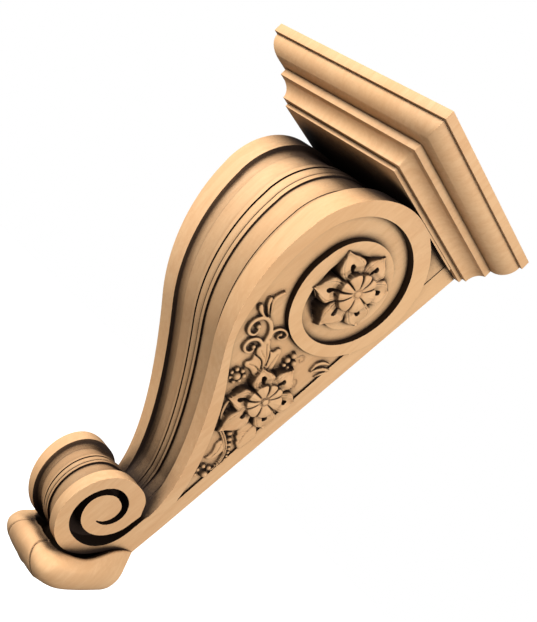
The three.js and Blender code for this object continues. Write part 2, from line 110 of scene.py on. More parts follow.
# How deep each cutting solid of a side goes under the strip's plane, and the painted shade in the front's
# channel
GROOVE_CUT = 8.0
PANEL_CUT = 4.0
SPANDREL_CUT = 0.5
SINK_CUT = 9.0
CHANNEL_SHADE = 0.28
CHANNEL_WALL_SHADE = 0.6

# How far the sunk grounds run under the strip's edge, so that no thin wall stays between two cuts
OVERLAP = 0.3

# The groove along each seam of the leaf cup, which starts at a half width and level of the lip
SEAM_DEPTH = 1.3
SEAM_WIDTH = 0.8
SEAM_HALF = 12.0
SEAM_LEVEL = 47.5
SEAM_SLANT = 0.42
SEAM_FADE = (42.0, 50.0)
CUP_HEART = (0.0, 36.0, 52.0)

# The cup's hollow, its gap from the wall plane and how far it is lifted into the small volute
CUP_FLOOR = 9.0
HOLLOW_OUT = 0.72
HOLLOW_PULL = 0.28
WALL_GAP = 0.2
CUP_LIFT = 0.15


# The camera as fitted to the photo, in metres and pixels, and the floor and lights round it
CAMERA_RIGHT = Vector((0.5395425, 0.45314306, 0.70961627))
CAMERA_DOWN = Vector((0.46270241, 0.54455616, -0.69954633))
CAMERA_AHEAD = Vector((-0.70342048, 0.70577613, 0.08414081))
CAMERA_SPOT = (0.5861, -0.6435, -0.0311)
FOCUS = 1098.9
PHOTO_WIDTH = 537.0
SENSOR = 36.0
TARGET = Vector((0, -0.06, 0.02))
FLOOR_SIZE = 14
FLOOR_LEVEL = -0.34
KEY_WAY = Vector((-0.25, -0.9, 0.38))
KEY_SIZE = 0.8
FILL_WAY = Vector((0.97, -0.12, 0.2))
FILL_SIZE = 0.9
LIGHT_AWAY = 1.6


def half_at(level):
    """Half width of the body at a level."""
    return HALF_TOP - TAPER * (BODY_TOP - level)


def strip_drop(level):
    """Depth of the back strip's face under the side plane."""
    return STRIP_DROP * np.maximum(level - TOE_LEVEL, 0) / (BODY_TOP - TOE_LEVEL)


def strip_edge(level):
    """Front edge of the back strip at a level."""
    share = (level - BODY_TOP) / (STRIP_LEVEL - BODY_TOP)
    return -(STRIP_TOP + (STRIP - STRIP_TOP) * share)


def between(a, b, c, d, t):
    """Value at a share of the way from b to c, on the smooth curve that runs on to a and d."""
    bend = (2 * a - 5 * b + 4 * c - d) * t * t + (3 * b - a - 3 * c + d) * t * t * t
    return 0.5 * (2 * b + (c - a) * t + bend)


def on_circle(centre, radius, angle):
    """Point of a circle at an angle in degrees."""
    turn = math.radians(angle)
    return centre[0] + radius * math.cos(turn), centre[1] + radius * math.sin(turn)


def radius_at(radii, eighths):
    """Smooth radius between those given at every eighth of a turn."""
    i = min(max(int(math.floor(eighths)), 0), len(radii) - 2)
    before, after = radii[max(i - 1, 0)], radii[min(i + 2, len(radii) - 1)]
    return between(before, radii[i], radii[i + 1], after, eighths - i)


def spiral(centre, start, radii, step=4.0, sense=-1):
    """Points of a spiral round a centre, from a start angle through its list of radii."""
    last = len(radii) - 1
    count = max(2, round(last * 45 / step))
    points = []
    for k in range(count + 1):
        eighths = last * k / count
        points.append(on_circle(centre, radius_at(radii, eighths), start + sense * 45 * eighths))
    return points


def front_rim(step=3.0, run_steps=56):
    """Rim of the S-shaped front, from the top of the large volute to the throat."""
    rim = []
    a = 90.0
    while a < 177:
        rim.append(on_circle((SCROLL_Y, SCROLL_LEVEL), SCROLL_RADIUS, a))
        a += step
    swell = (SWELL_Y, SCROLL_LEVEL - SWELL_LOWER)
    a = 0.0
    while a < SWELL_ANGLE - 0.5:
        rim.append(on_circle(swell, SWELL_RADIUS, 180 + a))
        a += step * 0.7
    turn = math.radians(180 + SWELL_ANGLE)
    y, level = on_circle(swell, SWELL_RADIUS, 180 + SWELL_ANGLE)
    pull = (y - RUN_PULL * math.sin(turn), level + RUN_PULL * math.cos(turn))
    for k in range(run_steps + 1):
        t = k / run_steps
        w = ((1 - t) ** 3, 3 * t * (1 - t) ** 2, 3 * t * t * (1 - t), t ** 3)
        rim.append((
            w[0] * y + w[1] * pull[0] + w[2] * TOE_Y + w[3] * TOE_Y,
            w[0] * level + w[1] * pull[1] + w[2] * (TOE_LEVEL + TOE_PULL) + w[3] * TOE_LEVEL,
        ))
    return rim


def body_outline():
    """Outline of the body in side view, each point with its share of the front's channel depth."""
    out = [(0.0, HEEL_LEVEL, 0.0), (0.0, BODY_TOP, 0.0)]
    for i, (y, level) in enumerate(front_rim()):
        share = 0.0 if i == 0 else min(max((level - TOE_LEVEL) / 26, 0.3), 1.0)
        out.append((y, level, share))
    out.append(((TOE_Y + CURL[0] + CURL_OUTER[0]) / 2, THROAT_LEVEL, 0.0))
    curl = spiral(CURL, 45, CURL_OUTER, 4.5, 1)
    last = len(curl) - 1
    for i, (y, level) in enumerate(curl):
        out.append((y, level, min(1.0, i / 10, (last - i) / 10)))
    out.append((-HEEL_DEPTH, -382.0, 0.0))
    out.append((-HEEL_DEPTH, HEEL_LEVEL, 0.0))
    return out


def channel_stations():
    """Depth of the channelled front at shares of the half width, from the middle to the edge."""
    stations = []
    for k in range(7):
        a = math.radians(15 * k)
        stations.append((0.085 * math.sin(a), 4.6 - 1.8 * math.cos(a)))
    stations += [(0.096, 4.6), (0.099, 3.2), (0.166, 3.2), (0.17, 4.8)]
    for k in range(1, 7):
        stations.append((0.17 + 0.33 * k / 6, 4.8 + 0.5 * (k / 6) ** 2))
    stations += [(0.505, 5.8), (0.522, 5.8)]
    for k in range(1, 9):
        a = math.radians(11.25 * k)
        stations.append((0.522 + 0.13 * math.sin(a), 3.2 + 2.6 * math.cos(a)))
    stations += [(0.657, 0.0), (0.72, 0.0), (0.8, 0.0), (0.9, 0.0), (1.0, 0.0)]
    return stations


def ribbon_inner():
    """Inner edge of the ribbon that follows the rim, narrowest beside the second rosette."""
    rim = front_rim()
    inner = []
    for before, point, after in zip(rim, rim[1:], rim[2:]):
        width = 10.8 - 5.1 * math.exp(-((point[1] + 204) / 27) ** 2)
        run = math.hypot(after[0] - before[0], after[1] - before[1])
        inner.append((
            point[0] - (after[1] - before[1]) / run * width,
            point[1] + (after[0] - before[0]) / run * width,
        ))
    return inner


def groove_outline():
    """Spiral groove of the large volute."""
    return spiral(EYE, 180, GROOVE_OUTER) + spiral(EYE, 180, DISC_OUTER)[::-1]


def panel_outline():
    """Sunk panel between the ribbon, the volute's ring and the back strip."""
    run = [p for p in ribbon_inner() if p[1] < EYE[1] - 1 and p[0] < strip_edge(p[1])]
    ring = [p for p in spiral(EYE, 0, RING_OUTER) if p[0] < strip_edge(p[1])]
    start = spiral(EYE, 180, GROOVE_OUTER)[0]
    foot = (strip_edge(STRIP_LEVEL) + OVERLAP, STRIP_LEVEL)
    return [start] + run + [foot, (strip_edge(ring[0][1]) + OVERLAP, ring[0][1])] + ring


def spandrel_outline():
    """Small sunk corner between the cap, the volute's ring and the back strip."""
    arc = []
    a = 76.0
    while a > 24:
        point = on_circle((SCROLL_Y, SCROLL_LEVEL), SCROLL_RADIUS, a)
        if point[0] < strip_edge(point[1]):
            arc.append(point)
        a -= 2
    top = BODY_TOP - 1.5
    low = arc[-1]
    foot = (strip_edge(low[1]) + OVERLAP, low[1] - 2)
    return arc + [foot, (strip_edge(BODY_TOP) + OVERLAP, top), (arc[0][0], top)]


def throat_outline():
    """Spiral slot of the small volute."""
    outer = spiral(CURL, 0, THROAT_OUTER)
    inner = spiral(CURL, 0, THROAT_INNER)
    top = TOE_LEVEL + 8
    return [(CURL[0] + THROAT_INNER[0] + 1.5, top), (CURL[0] + THROAT_OUTER[0], top)] + outer + inner[::-1]


def place(points):
    """Millimetres and levels to the part's metres."""
    done = np.array(points, dtype=float)
    done[:, 2] += DROP
    return done / 1000


def face_outwards(grown):
    """Turns the faces of a closed mesh outwards."""
    bmesh.ops.recalc_face_normals(grown, faces=grown.faces)
    if grown.calc_volume(signed=True) < 0:
        bmesh.ops.reverse_faces(grown, faces=grown.faces)


def new_piece(name, points, faces):
    """Mesh object from points in metres, with its faces turned outwards."""
    mesh = bpy.data.meshes.new(name)
    mesh.from_pydata([tuple(p) for p in points], [], faces)
    mesh.validate()
    piece = bpy.data.objects.new(name, mesh)
    bpy.context.scene.collection.objects.link(piece)
    grown = bmesh.new()
    grown.from_mesh(mesh)
    face_outwards(grown)
    grown.to_mesh(mesh)
    grown.free()
    return piece


def alone(piece):
    """Makes a piece the only one selected."""
    bpy.ops.object.select_all(action="DESELECT")
    piece.select_set(True)
    bpy.context.view_layer.objects.active = piece


def smooth_shading(piece, angle):
    """Shades a piece smoothly, apart from edges sharper than an angle in degrees."""
    alone(piece)
    bpy.ops.object.shade_smooth_by_angle(angle=math.radians(angle))


def loft_faces(rows, count):
    """Faces through closed rows of equally many points."""
    faces = []
    for i in range(rows - 1):
        for j in range(count):
            a = i * count + j
            b = i * count + (j + 1) % count
            faces.append((a, b, b + count, a + count))
    return faces


def prism(name, outline, low, high):
    """Closed prism of a side view outline, each end at a place across the width."""
    points = []
    for x in (low, high):
        for y, level in outline:
            points.append((x(level) if callable(x) else x, y, level))
    n = len(outline)
    faces = loft_faces(2, n)
    faces += [tuple(range(n))[::-1], tuple(range(n, 2 * n))]
    return new_piece(name, np.array(points), faces)


def carve(piece, tool):
    """Cuts a tool solid out of a piece, and removes the tool."""
    alone(piece)
    cut = piece.modifiers.new("carve", "BOOLEAN")
    cut.operation = "DIFFERENCE"
    cut.solver = "MANIFOLD"
    cut.object = tool
    bpy.ops.object.modifier_apply(modifier=cut.name)
    mesh = tool.data
    bpy.data.objects.remove(tool)
    bpy.data.meshes.remove(mesh)


# Strengths of the painted shade, and the range over which the wide painted shade comes in
SHADE_FROM = 0.05
SHADE_MOST = 0.97
WIDE_SHADE_RANGE = 0.38
CUT_WALL_SHADE = 0.93
LOW_GROUND_SHADE = 0.05
SLOPE_SHADE = (0.86, 0.3, 0.0, 0.82)


class Tone:
    """A value or colour inside a finish. Working on it adds the nodes for it."""

    def __init__(self, tree, socket):
        self.tree = tree
        self.socket = socket

    def node(self, kind, settings=None, sockets=None, output=0):
        """Adds a node, with its settings made first and then its sockets filled or linked."""
        made = self.tree.nodes.new(kind)
        for key, value in (settings or {}).items():
            if key == "stops":
                ramp = made.color_ramp.elements
                while len(ramp) < len(value):
                    ramp.new(0.5)
                for element, (position, colour) in zip(ramp, value):
                    element.position = position
                    element.color = colour
            else:
                setattr(made, key, value)
        for key, value in (sockets or {}).items():
            if isinstance(value, Tone):
                self.tree.links.new(value.socket, made.inputs[key])
            else:
                made.inputs[key].default_value = value
        return Tone(self.tree, made.outputs[output])

    def maths(self, operation, first, second=0.0):
        return self.node("ShaderNodeMath", {"operation": operation}, {0: first, 1: second})

    def __add__(self, other):
        return self.maths("ADD", self, other)

    __radd__ = __add__

    def __mul__(self, other):
        return self.maths("MULTIPLY", self, other)

    __rmul__ = __mul__

    def __sub__(self, other):
        return self.maths("SUBTRACT", self, other)

    def __rsub__(self, other):
        return self.maths("SUBTRACT", other, self)

    def spread(self, low, high, to_low=0.0, to_high=1.0):
        sockets = {0: self, 1: low, 2: high, 3: to_low, 4: to_high}
        return self.node("ShaderNodeMapRange", {"interpolation_type": "SMOOTHSTEP"}, sockets)

    def mix(self, first, second):
        """Colour between two, by this value."""
        sockets = {0: self, 6: first, 7: second}
        settings = {"data_type": "RGBA", "clamp_factor": True}
        return self.node("ShaderNodeMix", settings, sockets, 2)


def linear(colour):
    """Screen colour to the colour that the shaders use."""
    parts = [c / 12.92 if c <= 0.04045 else ((c + 0.055) / 1.055) ** 2.4 for c in colour]
    return (*parts, 1.0)


def carved_wood(name, reach, steep, line, full, wide_shade_from):
    """Pale sanded hardwood with faint grain, with shade painted into its crevices, on its cut walls and in
    sheltered places.
    """
    look = bpy.context.scene.corbel_wood
    finish = bpy.data.materials.new(name)
    finish.use_nodes = True
    tree = finish.node_tree
    tree.nodes.clear()
    start = Tone(tree, None)
    spot = start.node("ShaderNodeTexCoord", output=3)
    along = start.node("ShaderNodeMapping", {}, {0: spot, 3: (1.0, 1.0, look.grain_stretch)})
    cloud = start.node("ShaderNodeTexNoise", {}, {0: along, 2: 26.0, 3: 3.0, 4: 0.55, 8: 0.6}, 0)
    streak = start.node("ShaderNodeTexNoise", {}, {0: along, 2: look.grain_scale, 3: 4.0, 4: 0.6, 8: 0.4}, 0)
    pores = start.node("ShaderNodeTexNoise", {}, {0: along, 2: look.grain_scale * 4.2, 3: 2.0, 4: 0.5}, 0)
    patch = start.node("ShaderNodeTexNoise", {}, {0: spot, 2: 9.0, 3: 2.0, 4: 0.5}, 0)
    grain = (cloud * 0.45 + streak * 0.4 + pores * 0.15).spread(0.36, 0.66)
    plain = grain.mix(linear(look.dark_grain), linear(look.light_grain))
    warm = patch.spread(0.35, 0.7, 0.0, 0.35).mix(plain, linear(look.warm_patch))
    # Painted shade: ambient occlusion, near and close in, darkens corners, recesses and creases towards the
    # shade colour
    hollow = start.node("ShaderNodeAmbientOcclusion", {"samples": 8}, {1: reach}, 1)
    fine = start.node("ShaderNodeAmbientOcclusion", {"samples": 6}, {1: reach * 0.3}, 1)
    shade = (1 - hollow).spread(SHADE_FROM, full, 0.0, SHADE_MOST)
    crease_shade = (1 - fine).spread(0.1, 0.65, 0.0, line)
    dark = linear(look.shade_colour)
    shaded = shade.mix(warm, dark)
    # Painted shade over a wide reach, for the dark under the cap and in sheltered hollows
    wide = start.node("ShaderNodeAmbientOcclusion", {"samples": 8}, {1: look.shelter}, 1)
    shaded = (1 - wide).spread(wide_shade_from, wide_shade_from + WIDE_SHADE_RANGE, 0.0, SHADE_MOST).mix(shaded, dark)
    # Painted shade on steep walls: in the slope finish by how far a face turns from the side, with more on
    # sunk ground; otherwise on the faces marked as cut walls
    if steep == "slope":
        facing = start.node("ShaderNodeTexCoord", output=1)
        across = start.node("ShaderNodeSeparateXYZ", {}, {0: facing}, 0)
        wall = across.maths("ABSOLUTE", across).spread(*SLOPE_SHADE)
        low = start.node("ShaderNodeAttribute", {"attribute_name": "low"}, {}, 2) * LOW_GROUND_SHADE
        shaded = low.mix(shaded, dark)
    else:
        wall = start.node("ShaderNodeAttribute", {"attribute_name": "cut"}, {}, 2) * CUT_WALL_SHADE
    shaded = wall.mix(shaded, dark)
    deep = crease_shade.mix(shaded, dark)
    rough = grain.spread(0.0, 1.0, look.roughness + 0.06, look.roughness - 0.05)
    height = streak * 0.5 + pores * 0.5
    bump = start.node("ShaderNodeBump", {}, {0: look.bump, 1: 0.0004, "Height": height})
    sockets = {"Base Color": deep, "Roughness": rough, "Normal": bump, "Specular IOR Level": 0.28}
    wood = start.node("ShaderNodeBsdfPrincipled", {}, sockets)
    tree.links.new(wood.socket, tree.nodes.new("ShaderNodeOutputMaterial").inputs[0])
    return finish


def dress(piece, name, reach, node, steep="cut", line=0.85, extra=0.0, wide_shade_from=0.25):
    """Gives a piece its wood and its body, and hides the model's part for the node it stands for."""
    # The reach, line, extra and wide start set how far and how strongly shade is painted into this piece's
    # wood
    full = bpy.context.scene.corbel_wood.painted_shade + extra
    finish = bpy.data.materials.get(name) or carved_wood(name, reach, steep, line, full, wide_shade_from)
    piece.data.materials.clear()
    piece.data.materials.append(finish)
    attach(piece, "root")
    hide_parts(node)


def cap_profile(look):
    """Pairs of inset and level down the cap's mouldings."""
    level = SLAB_LEVEL
    slab = -look.slab * 1000
    path = [(0.0, 0.0), (0.0, slab), (SLAB_INSET, slab), (SLAB_INSET, level)]
    ovolo, cavetto = look.ovolo * 1000, look.cavetto * 1000
    for k in range(1, look.steps + 1):
        turn = math.radians(90 * k / look.steps)
        inset = SLAB_INSET + (ovolo + OVOLO_STRETCH) * (1 - math.cos(turn))
        path.append((inset, level - ovolo * math.sin(turn)))
    level -= ovolo
    path.append((FILLET_INSET, level))
    level -= FILLET
    path.append((FILLET_INSET, level))
    for k in range(1, look.steps + 1):
        turn = math.radians(90 * k / look.steps)
        inset = max(CAVETTO_INSET - cavetto + cavetto * math.sin(turn), FILLET_INSET + 0.1)
        path.append((inset, level - cavetto * (1 - math.cos(turn))))
    level -= cavetto
    path += [(FOOT_INSET, level), (FOOT_INSET, level - FOOT)]
    return path


def raised_field(grid_y, grid_level):
    """Height of the carved ground and relief over the side plane, at each place of a grid."""
    height = -strip_drop(grid_level) - GROUND_DROP
    sunk = np.hypot(grid_y - EYE_SINK[0], grid_level - EYE_SINK[1])
    height -= EYE_SINK_DEPTH * soft(sunk, EYE_SINK_RADIUS + 8.0, EYE_SINK_RADIUS - 3.0)
    build_relief(Relief(grid_y, grid_level, height))
    return height


def eased(values, t):
    """Smooth value at a share of the way through evenly spaced ones."""
    values = np.array(values)
    spot = np.clip(t, 0, 0.999999) * (len(values) - 1)
    i = spot.astype(int)
    before, after = values[np.maximum(i - 1, 0)], values[np.minimum(i + 2, len(values) - 1)]
    return between(before, values[i], values[i + 1], after, spot - i)


def soft(value, low, high):
    """Smooth step from 0 at low to 1 at high, which may run either way."""
    t = np.clip((value - low) / (high - low), 0, 1)
    return t * t * (3 - 2 * t)


class Relief:
    """Carving raised over a ground, where each form is laid over those below it."""

    def __init__(self, y, level, height):
        self.y = y
        self.level = level
        self.height = height
        self.ground = height.copy()

    def lay(self, top, edge, wall=0.9):
        """Lays a form whose signed distance inside its edge is given, with steep soft sides."""
        rise = soft(edge, -wall * 0.5, wall * 0.5)
        shown = self.ground + (top - self.ground) * rise
        better = (edge > -wall * 0.5) & (shown > self.height)
        self.height[better] = shown[better]

    def turned(self, y, level, angle):
        """Coordinates along and across a line through a point."""
        turn = math.radians(angle)
        dy, dl = self.y - y, self.level - level
        return dy * math.cos(turn) + dl * math.sin(turn), dl * math.cos(turn) - dy * math.sin(turn)

    def petal(self, y, level, angle, length, half, crown, tip=0.8, hole=20.0):
        """Ogee-pointed petal with a folded rim, a shallow bowl inside it and a drilled drop."""
        u, v = self.turned(y, level, angle)
        t = np.clip(u / length, 0.0, 1.0)
        width = half * eased(PETAL_WIDTHS, t)
        slope = np.hypot(1.0, np.clip((t - 0.55) / 0.25, 0, 1) * 1.1)
        edge = np.minimum(np.minimum((width - np.abs(v)) / slope, length - u), u - 1.0)
        share = np.clip(np.abs(v) / np.maximum(width, 0.4), 0, 1)
        along = tip + crown * np.cos(np.clip((t - 0.5) / 0.5, 0, 1) * math.pi / 2)
        rim = np.clip((share - 0.66) / 0.34, 0, 1) ** 1.6
        bowl = np.clip(1 - (share / 0.66) ** 2, 0, 1)
        wide = soft(width, 0.5, 3.5)
        over = along - (0.5 + 2.4 * wide) * rim - 2.1 * bowl * wide
        over = over - 0.95 * np.exp(-(((np.abs(v) - 0.7 * width) / 0.5) ** 2)) * wide
        over = over - 1.6 * soft(u, hole + 0.5, hole - 3.5)
        narrow = np.where(u > hole, 1.75, 1.75 - 0.17 * np.clip(hole - u, 0, 6))
        drop = np.hypot(np.where(u > hole, (u - hole) / 2.0, (u - hole) / 6.0), v / narrow)
        over = over - 8.0 * soft(drop, 1.15, 0.85)
        self.lay(over, edge, 0.8)

    def corolla(self, y, level, radius, creases, high):
        """Domed heart of uneven rounded lobes with widening creases and a button on top."""
        dy, dl = self.y - y, self.level - level
        r = np.hypot(dy, dl)
        around = np.degrees(np.arctan2(dl, dy)) % 360
        rim = np.zeros(r.shape)
        plump = np.zeros(r.shape)
        cross = np.full(r.shape, 99.0)
        for first, last in zip(creases, creases[1:] + [creases[0] + 360]):
            off = (around - first) % 360
            here = off <= last - first
            wide = last - first
            share = np.clip(np.abs(off / wide * 2 - 1), 0, 1)
            swell = np.sqrt(np.clip(1 - share ** 2.4, 0, 1))
            rim = np.where(here, radius * (0.84 + 0.16 * swell), rim)
            plump = np.where(here, swell + 0.25 * np.exp(-((share / 0.12) ** 2)), plump)
            near = np.minimum(off, wide - off)
            cross = np.where(here, r * np.sin(np.radians(np.clip(near, 0, 90))), cross)
        share = np.clip(r / rim, 0, 1)
        over = high * (0.68 + 0.32 * np.sqrt(np.clip(1 - share ** 3, 0, 1)))
        over = over + 1.7 * plump * soft(r, 2.5, radius * 0.8) - 1.4
        over = over - 1.2 * np.exp(-((cross / (0.26 + 0.024 * r)) ** 2)) * soft(r, 2.6, 6.0)
        over = over - 0.8 * np.exp(-(((r - 3.4) / 0.8) ** 2))
        self.lay(over, rim - r, 1.0)
        knob = np.sqrt(np.clip(1 - (r / 3.0) ** 2, 0, 1))
        self.lay(high * 0.8 + 1.5 * knob, 3.0 - r, 0.7)

    def plate(self, outline, top, wall=0.8):
        """Leaf form inside a smooth closed outline, plump towards its edge."""
        ring = list(outline)
        smooth = []
        count = len(ring)
        for i in range(count):
            four = [ring[(i + k) % count] for k in (-1, 0, 1, 2)]
            for k in range(4):
                smooth.append([between(*(point[axis] for point in four), k / 4) for axis in range(2)])
        inside, near = outline_distance(smooth, self.y, self.level)
        edge = np.where(inside, near, -near)
        over = top * (0.45 + 0.55 * np.sqrt(np.clip(1 - (1 - np.clip(edge, 0, 4.0) / 4.0) ** 2, 0, 1)))
        self.lay(self.ground + over, edge, wall)

    def score(self, points, width, depth):
        """Cuts a fine vein along points into the carving there."""
        near = np.full(self.y.shape, 99.0)
        smooth = curve_through(points, [0.0] * len(points), 4)
        for (ay, al, _), (by, bl, _) in zip(smooth, smooth[1:]):
            dy, dl = by - ay, bl - al
            along = (self.y - ay) * dy + (self.level - al) * dl
            t = np.clip(along / max(dy * dy + dl * dl, 1e-6), 0, 1)
            near = np.minimum(near, np.hypot(self.y - ay - t * dy, self.level - al - t * dl))
        self.height -= depth * np.exp(-((near / width) ** 2))

    def stroke(self, points, widths, top, crown=0.5):
        """Round-backed stem along points, with its half width at each of them."""
        best = np.full(self.y.shape, -9.0)
        lift = np.zeros(self.y.shape)
        smooth = curve_through(points, widths, 6)
        for (ay, al, aw), (by, bl, bw) in zip(smooth, smooth[1:]):
            dy, dl = by - ay, bl - al
            along = (self.y - ay) * dy + (self.level - al) * dl
            t = np.clip(along / max(dy * dy + dl * dl, 1e-6), 0, 1)
            away = np.hypot(self.y - ay - t * dy, self.level - al - t * dl)
            width = aw + (bw - aw) * t
            edge = width - away
            nearer = edge > best
            best = np.where(nearer, edge, best)
            swell = np.sqrt(np.clip(1 - (away / np.maximum(width, 0.2)) ** 2, 0, 1))
            lift = np.where(nearer, top * (1 - crown + crown * swell), lift)
        self.lay(self.ground + lift, best, 0.8)

    def bead(self, y, level, radius, top=None):
        """Round berry standing on the ground."""
        away = np.hypot(self.y - y, self.level - level)
        over = (top or radius * 1.5) * np.sqrt(np.clip(1 - (away / radius) ** 2, 0, 1)) + 0.4
        self.lay(self.ground + over, radius - away, 0.5)


def curve_through(points, widths, steps):
    """Points and widths of a smooth curve through those given."""
    done = []
    last = len(points) - 1
    for i in range(last):
        before, start = max(i - 1, 0), i
        end, after = i + 1, min(i + 2, last)
        four = [points[j] for j in (before, start, end, after)]
        for k in range(steps):
            t = k / steps
            spot = [between(*(point[axis] for point in four), t) for axis in range(2)]
            done.append((*spot, widths[start] + (widths[end] - widths[start]) * t))
    done.append((*points[last], widths[last]))
    return done


def build_relief(relief):
    """The whole side carving: two rosettes with leaves, curls, berries and stems between them."""
    # Forms that stand on the ground are set back by its own depth, seen from the front
    true_y = relief.y
    relief.y = true_y - 1.08 * (strip_drop(relief.level) - 1.2)
    # Three plumes and three curls at the upper left of the panel
    for plume in (
        [
            (-99, -170.2), (-104.5, -165.3), (-109.1, -161.2), (-111.0, -157.6), (-110.5, -153.7),
            (-109.7, -150),
        ],
        [(-101.1, -169.6), (-106.3, -166.8), (-110.6, -164.1), (-112.9, -161.4), (-113.7, -160.2)],
        [(-102.6, -171.4), (-108.2, -171.0), (-112.2, -169.8), (-114.3, -168.6)],
    ):
        widths = [0.5, 0.9, 1.5, 1.9, 1.8, 1.2] if len(plume) > 4 else [0.7, 1.5, 2.2, 2.0]
        relief.stroke(plume, widths[:len(plume)], 3.4, 0.6)
    arm = [
        (-84.1, -183), (-87.0, -176.9), (-91.4, -172.8), (-97.1, -170.8), (-102.6, -171.6), (-106.0, -175.0),
        (-107.3, -180.1), (-105.2, -184.8), (-101.1, -186.8), (-97.3, -185.1), (-97.3, -181.5),
        (-99.8, -178.9),
    ]
    relief.stroke(arm, [1.9, 2.0, 2.0, 1.9, 1.8, 1.8, 1.8, 1.7, 1.5, 1.2, 1.0, 1.0], 3.3)
    relief.bead(-100.4, -178.9, 2.4, 3.6)
    arm = [
        (-82, -186.2), (-85.4, -185), (-89.6, -184.8), (-93.5, -187.0), (-95.6, -191.0), (-94.3, -195.4),
        (-90.5, -197.3), (-87.0, -196.2), (-85.9, -193.3), (-87.6, -191),
    ]
    relief.stroke(arm, [1.5, 1.6, 1.7, 1.7, 1.7, 1.6, 1.4, 1.2, 1.0, 0.9], 3.3)
    relief.bead(-88.2, -191.0, 2.1, 3.6)
    arm = [
        (-84.6, -178.1), (-86.9, -174.5), (-86.2, -171.1), (-83.9, -168.3), (-79.6, -166.7), (-75.6, -167.4),
        (-74.7, -170.3), (-76.4, -173.4), (-79.8, -174.2), (-81.0, -172.2),
    ]
    relief.stroke(arm, [1.6, 1.6, 1.5, 1.4, 1.3, 1.3, 1.2, 1.1, 0.9, 0.8], 3.3)
    relief.bead(-80.4, -171.0, 1.8, 3.5)
    # Wavy leaf in three lobes above the second rosette
    relief.plate([
        (-81.0, -193.0), (-81.0, -195.2), (-79.3, -197.8), (-79.8, -199.7), (-81.4, -201.6), (-80.2, -204.2),
        (-77.2, -205.0), (-73.2, -203.9), (-69.1, -204.5), (-63.1, -206), (-60.6, -202), (-64, -196),
        (-72.0, -192.3), (-77.6, -192),
    ], 3.4)
    relief.plate([
        (-74, -185), (-71.1, -182.9), (-70.6, -181.1), (-70.6, -178.9), (-68.2, -177.4), (-65.2, -178.2),
        (-63.6, -180.9), (-61.9, -183.3), (-59.6, -187.5), (-57.6, -193), (-63.8, -197), (-72.8, -191),
    ], 3.4)
    relief.plate([
        (-73.0, -197), (-79.5, -194), (-83.7, -191.7), (-85.2, -189.1), (-84.6, -186.4), (-85.4, -183.8),
        (-86.5, -181.7), (-85.2, -179.6), (-82.4, -178.7), (-79.8, -180.3), (-77.6, -182.1), (-73.6, -183.6),
        (-70.6, -186.8), (-67, -191), (-64, -197),
    ], 4.2)
    relief.score([(-64, -197), (-72, -189.5), (-78.5, -185.5), (-82.4, -182.6)], 0.6, 1.0)
    relief.score([(-72.5, -190.6), (-78, -189.6), (-81.5, -188.8)], 0.5, 0.7)
    relief.score([(-61, -196), (-64, -188.5), (-66.4, -182)], 0.6, 0.9)
    relief.score([(-64, -200), (-71, -199.2), (-77.4, -201.4)], 0.6, 0.9)
    relief.score([(-80.5, -193.6), (-73, -193.4), (-65.5, -198)], 0.5, 1.7)
    relief.score([(-74.6, -184.2), (-70.6, -187.4), (-65.5, -193.5)], 0.5, 1.7)
    # Berries
    for y, level, radius in (
        (-76.8, -213.9, 3.7), (-81.8, -214.4, 2.0), (-80.8, -210.3, 2.2), (-76.0, -208.3, 2.3),
        (-71.4, -210, 2.3), (-70.6, -214.6, 2.1), (-73.6, -218.2, 2.0), (-79.2, -218.0, 1.9),
        (-55.1, -179.1, 2.9), (-54.3, -173.7, 2.9), (-48.3, -177.3, 2.9), (-53, -183.4, 2.2),
        (-48.4, -182.6, 1.9),
    ):
        relief.bead(y, level, radius)
    # Small spray beside the back strip, and two faint curls
    relief.stroke([(-29, -171), (-29.6, -165.2), (-26.4, -160.4), (-20.7, -157.4)], [0.6, 1.7, 1.7, 0.6], 2.6)
    leaf = [(-28, -171.8), (-25.0, -167.4), (-20.8, -163.1), (-15.2, -160.3)]
    relief.stroke(leaf, [0.6, 1.7, 1.7, 0.8], 2.8)
    relief.stroke([(-20.7, -172.1), (-18.2, -166.9), (-15.2, -161.9)], [0.5, 1.2, 1.0], 2.0)
    faint = [
        (-46.9, -171.6), (-46.0, -168.9), (-42.4, -168.3), (-40.2, -170.6), (-41.7, -172.9), (-44, -171.8),
    ]
    relief.stroke(faint, [0.5] * 6, 0.8)
    faint = [
        (-33.1, -188), (-32.8, -184.7), (-29.3, -183.0), (-25.5, -185.5), (-25, -189.3), (-28, -190.4),
        (-29, -187.6),
    ]
    relief.stroke(faint, [0.5] * 7, 0.8)
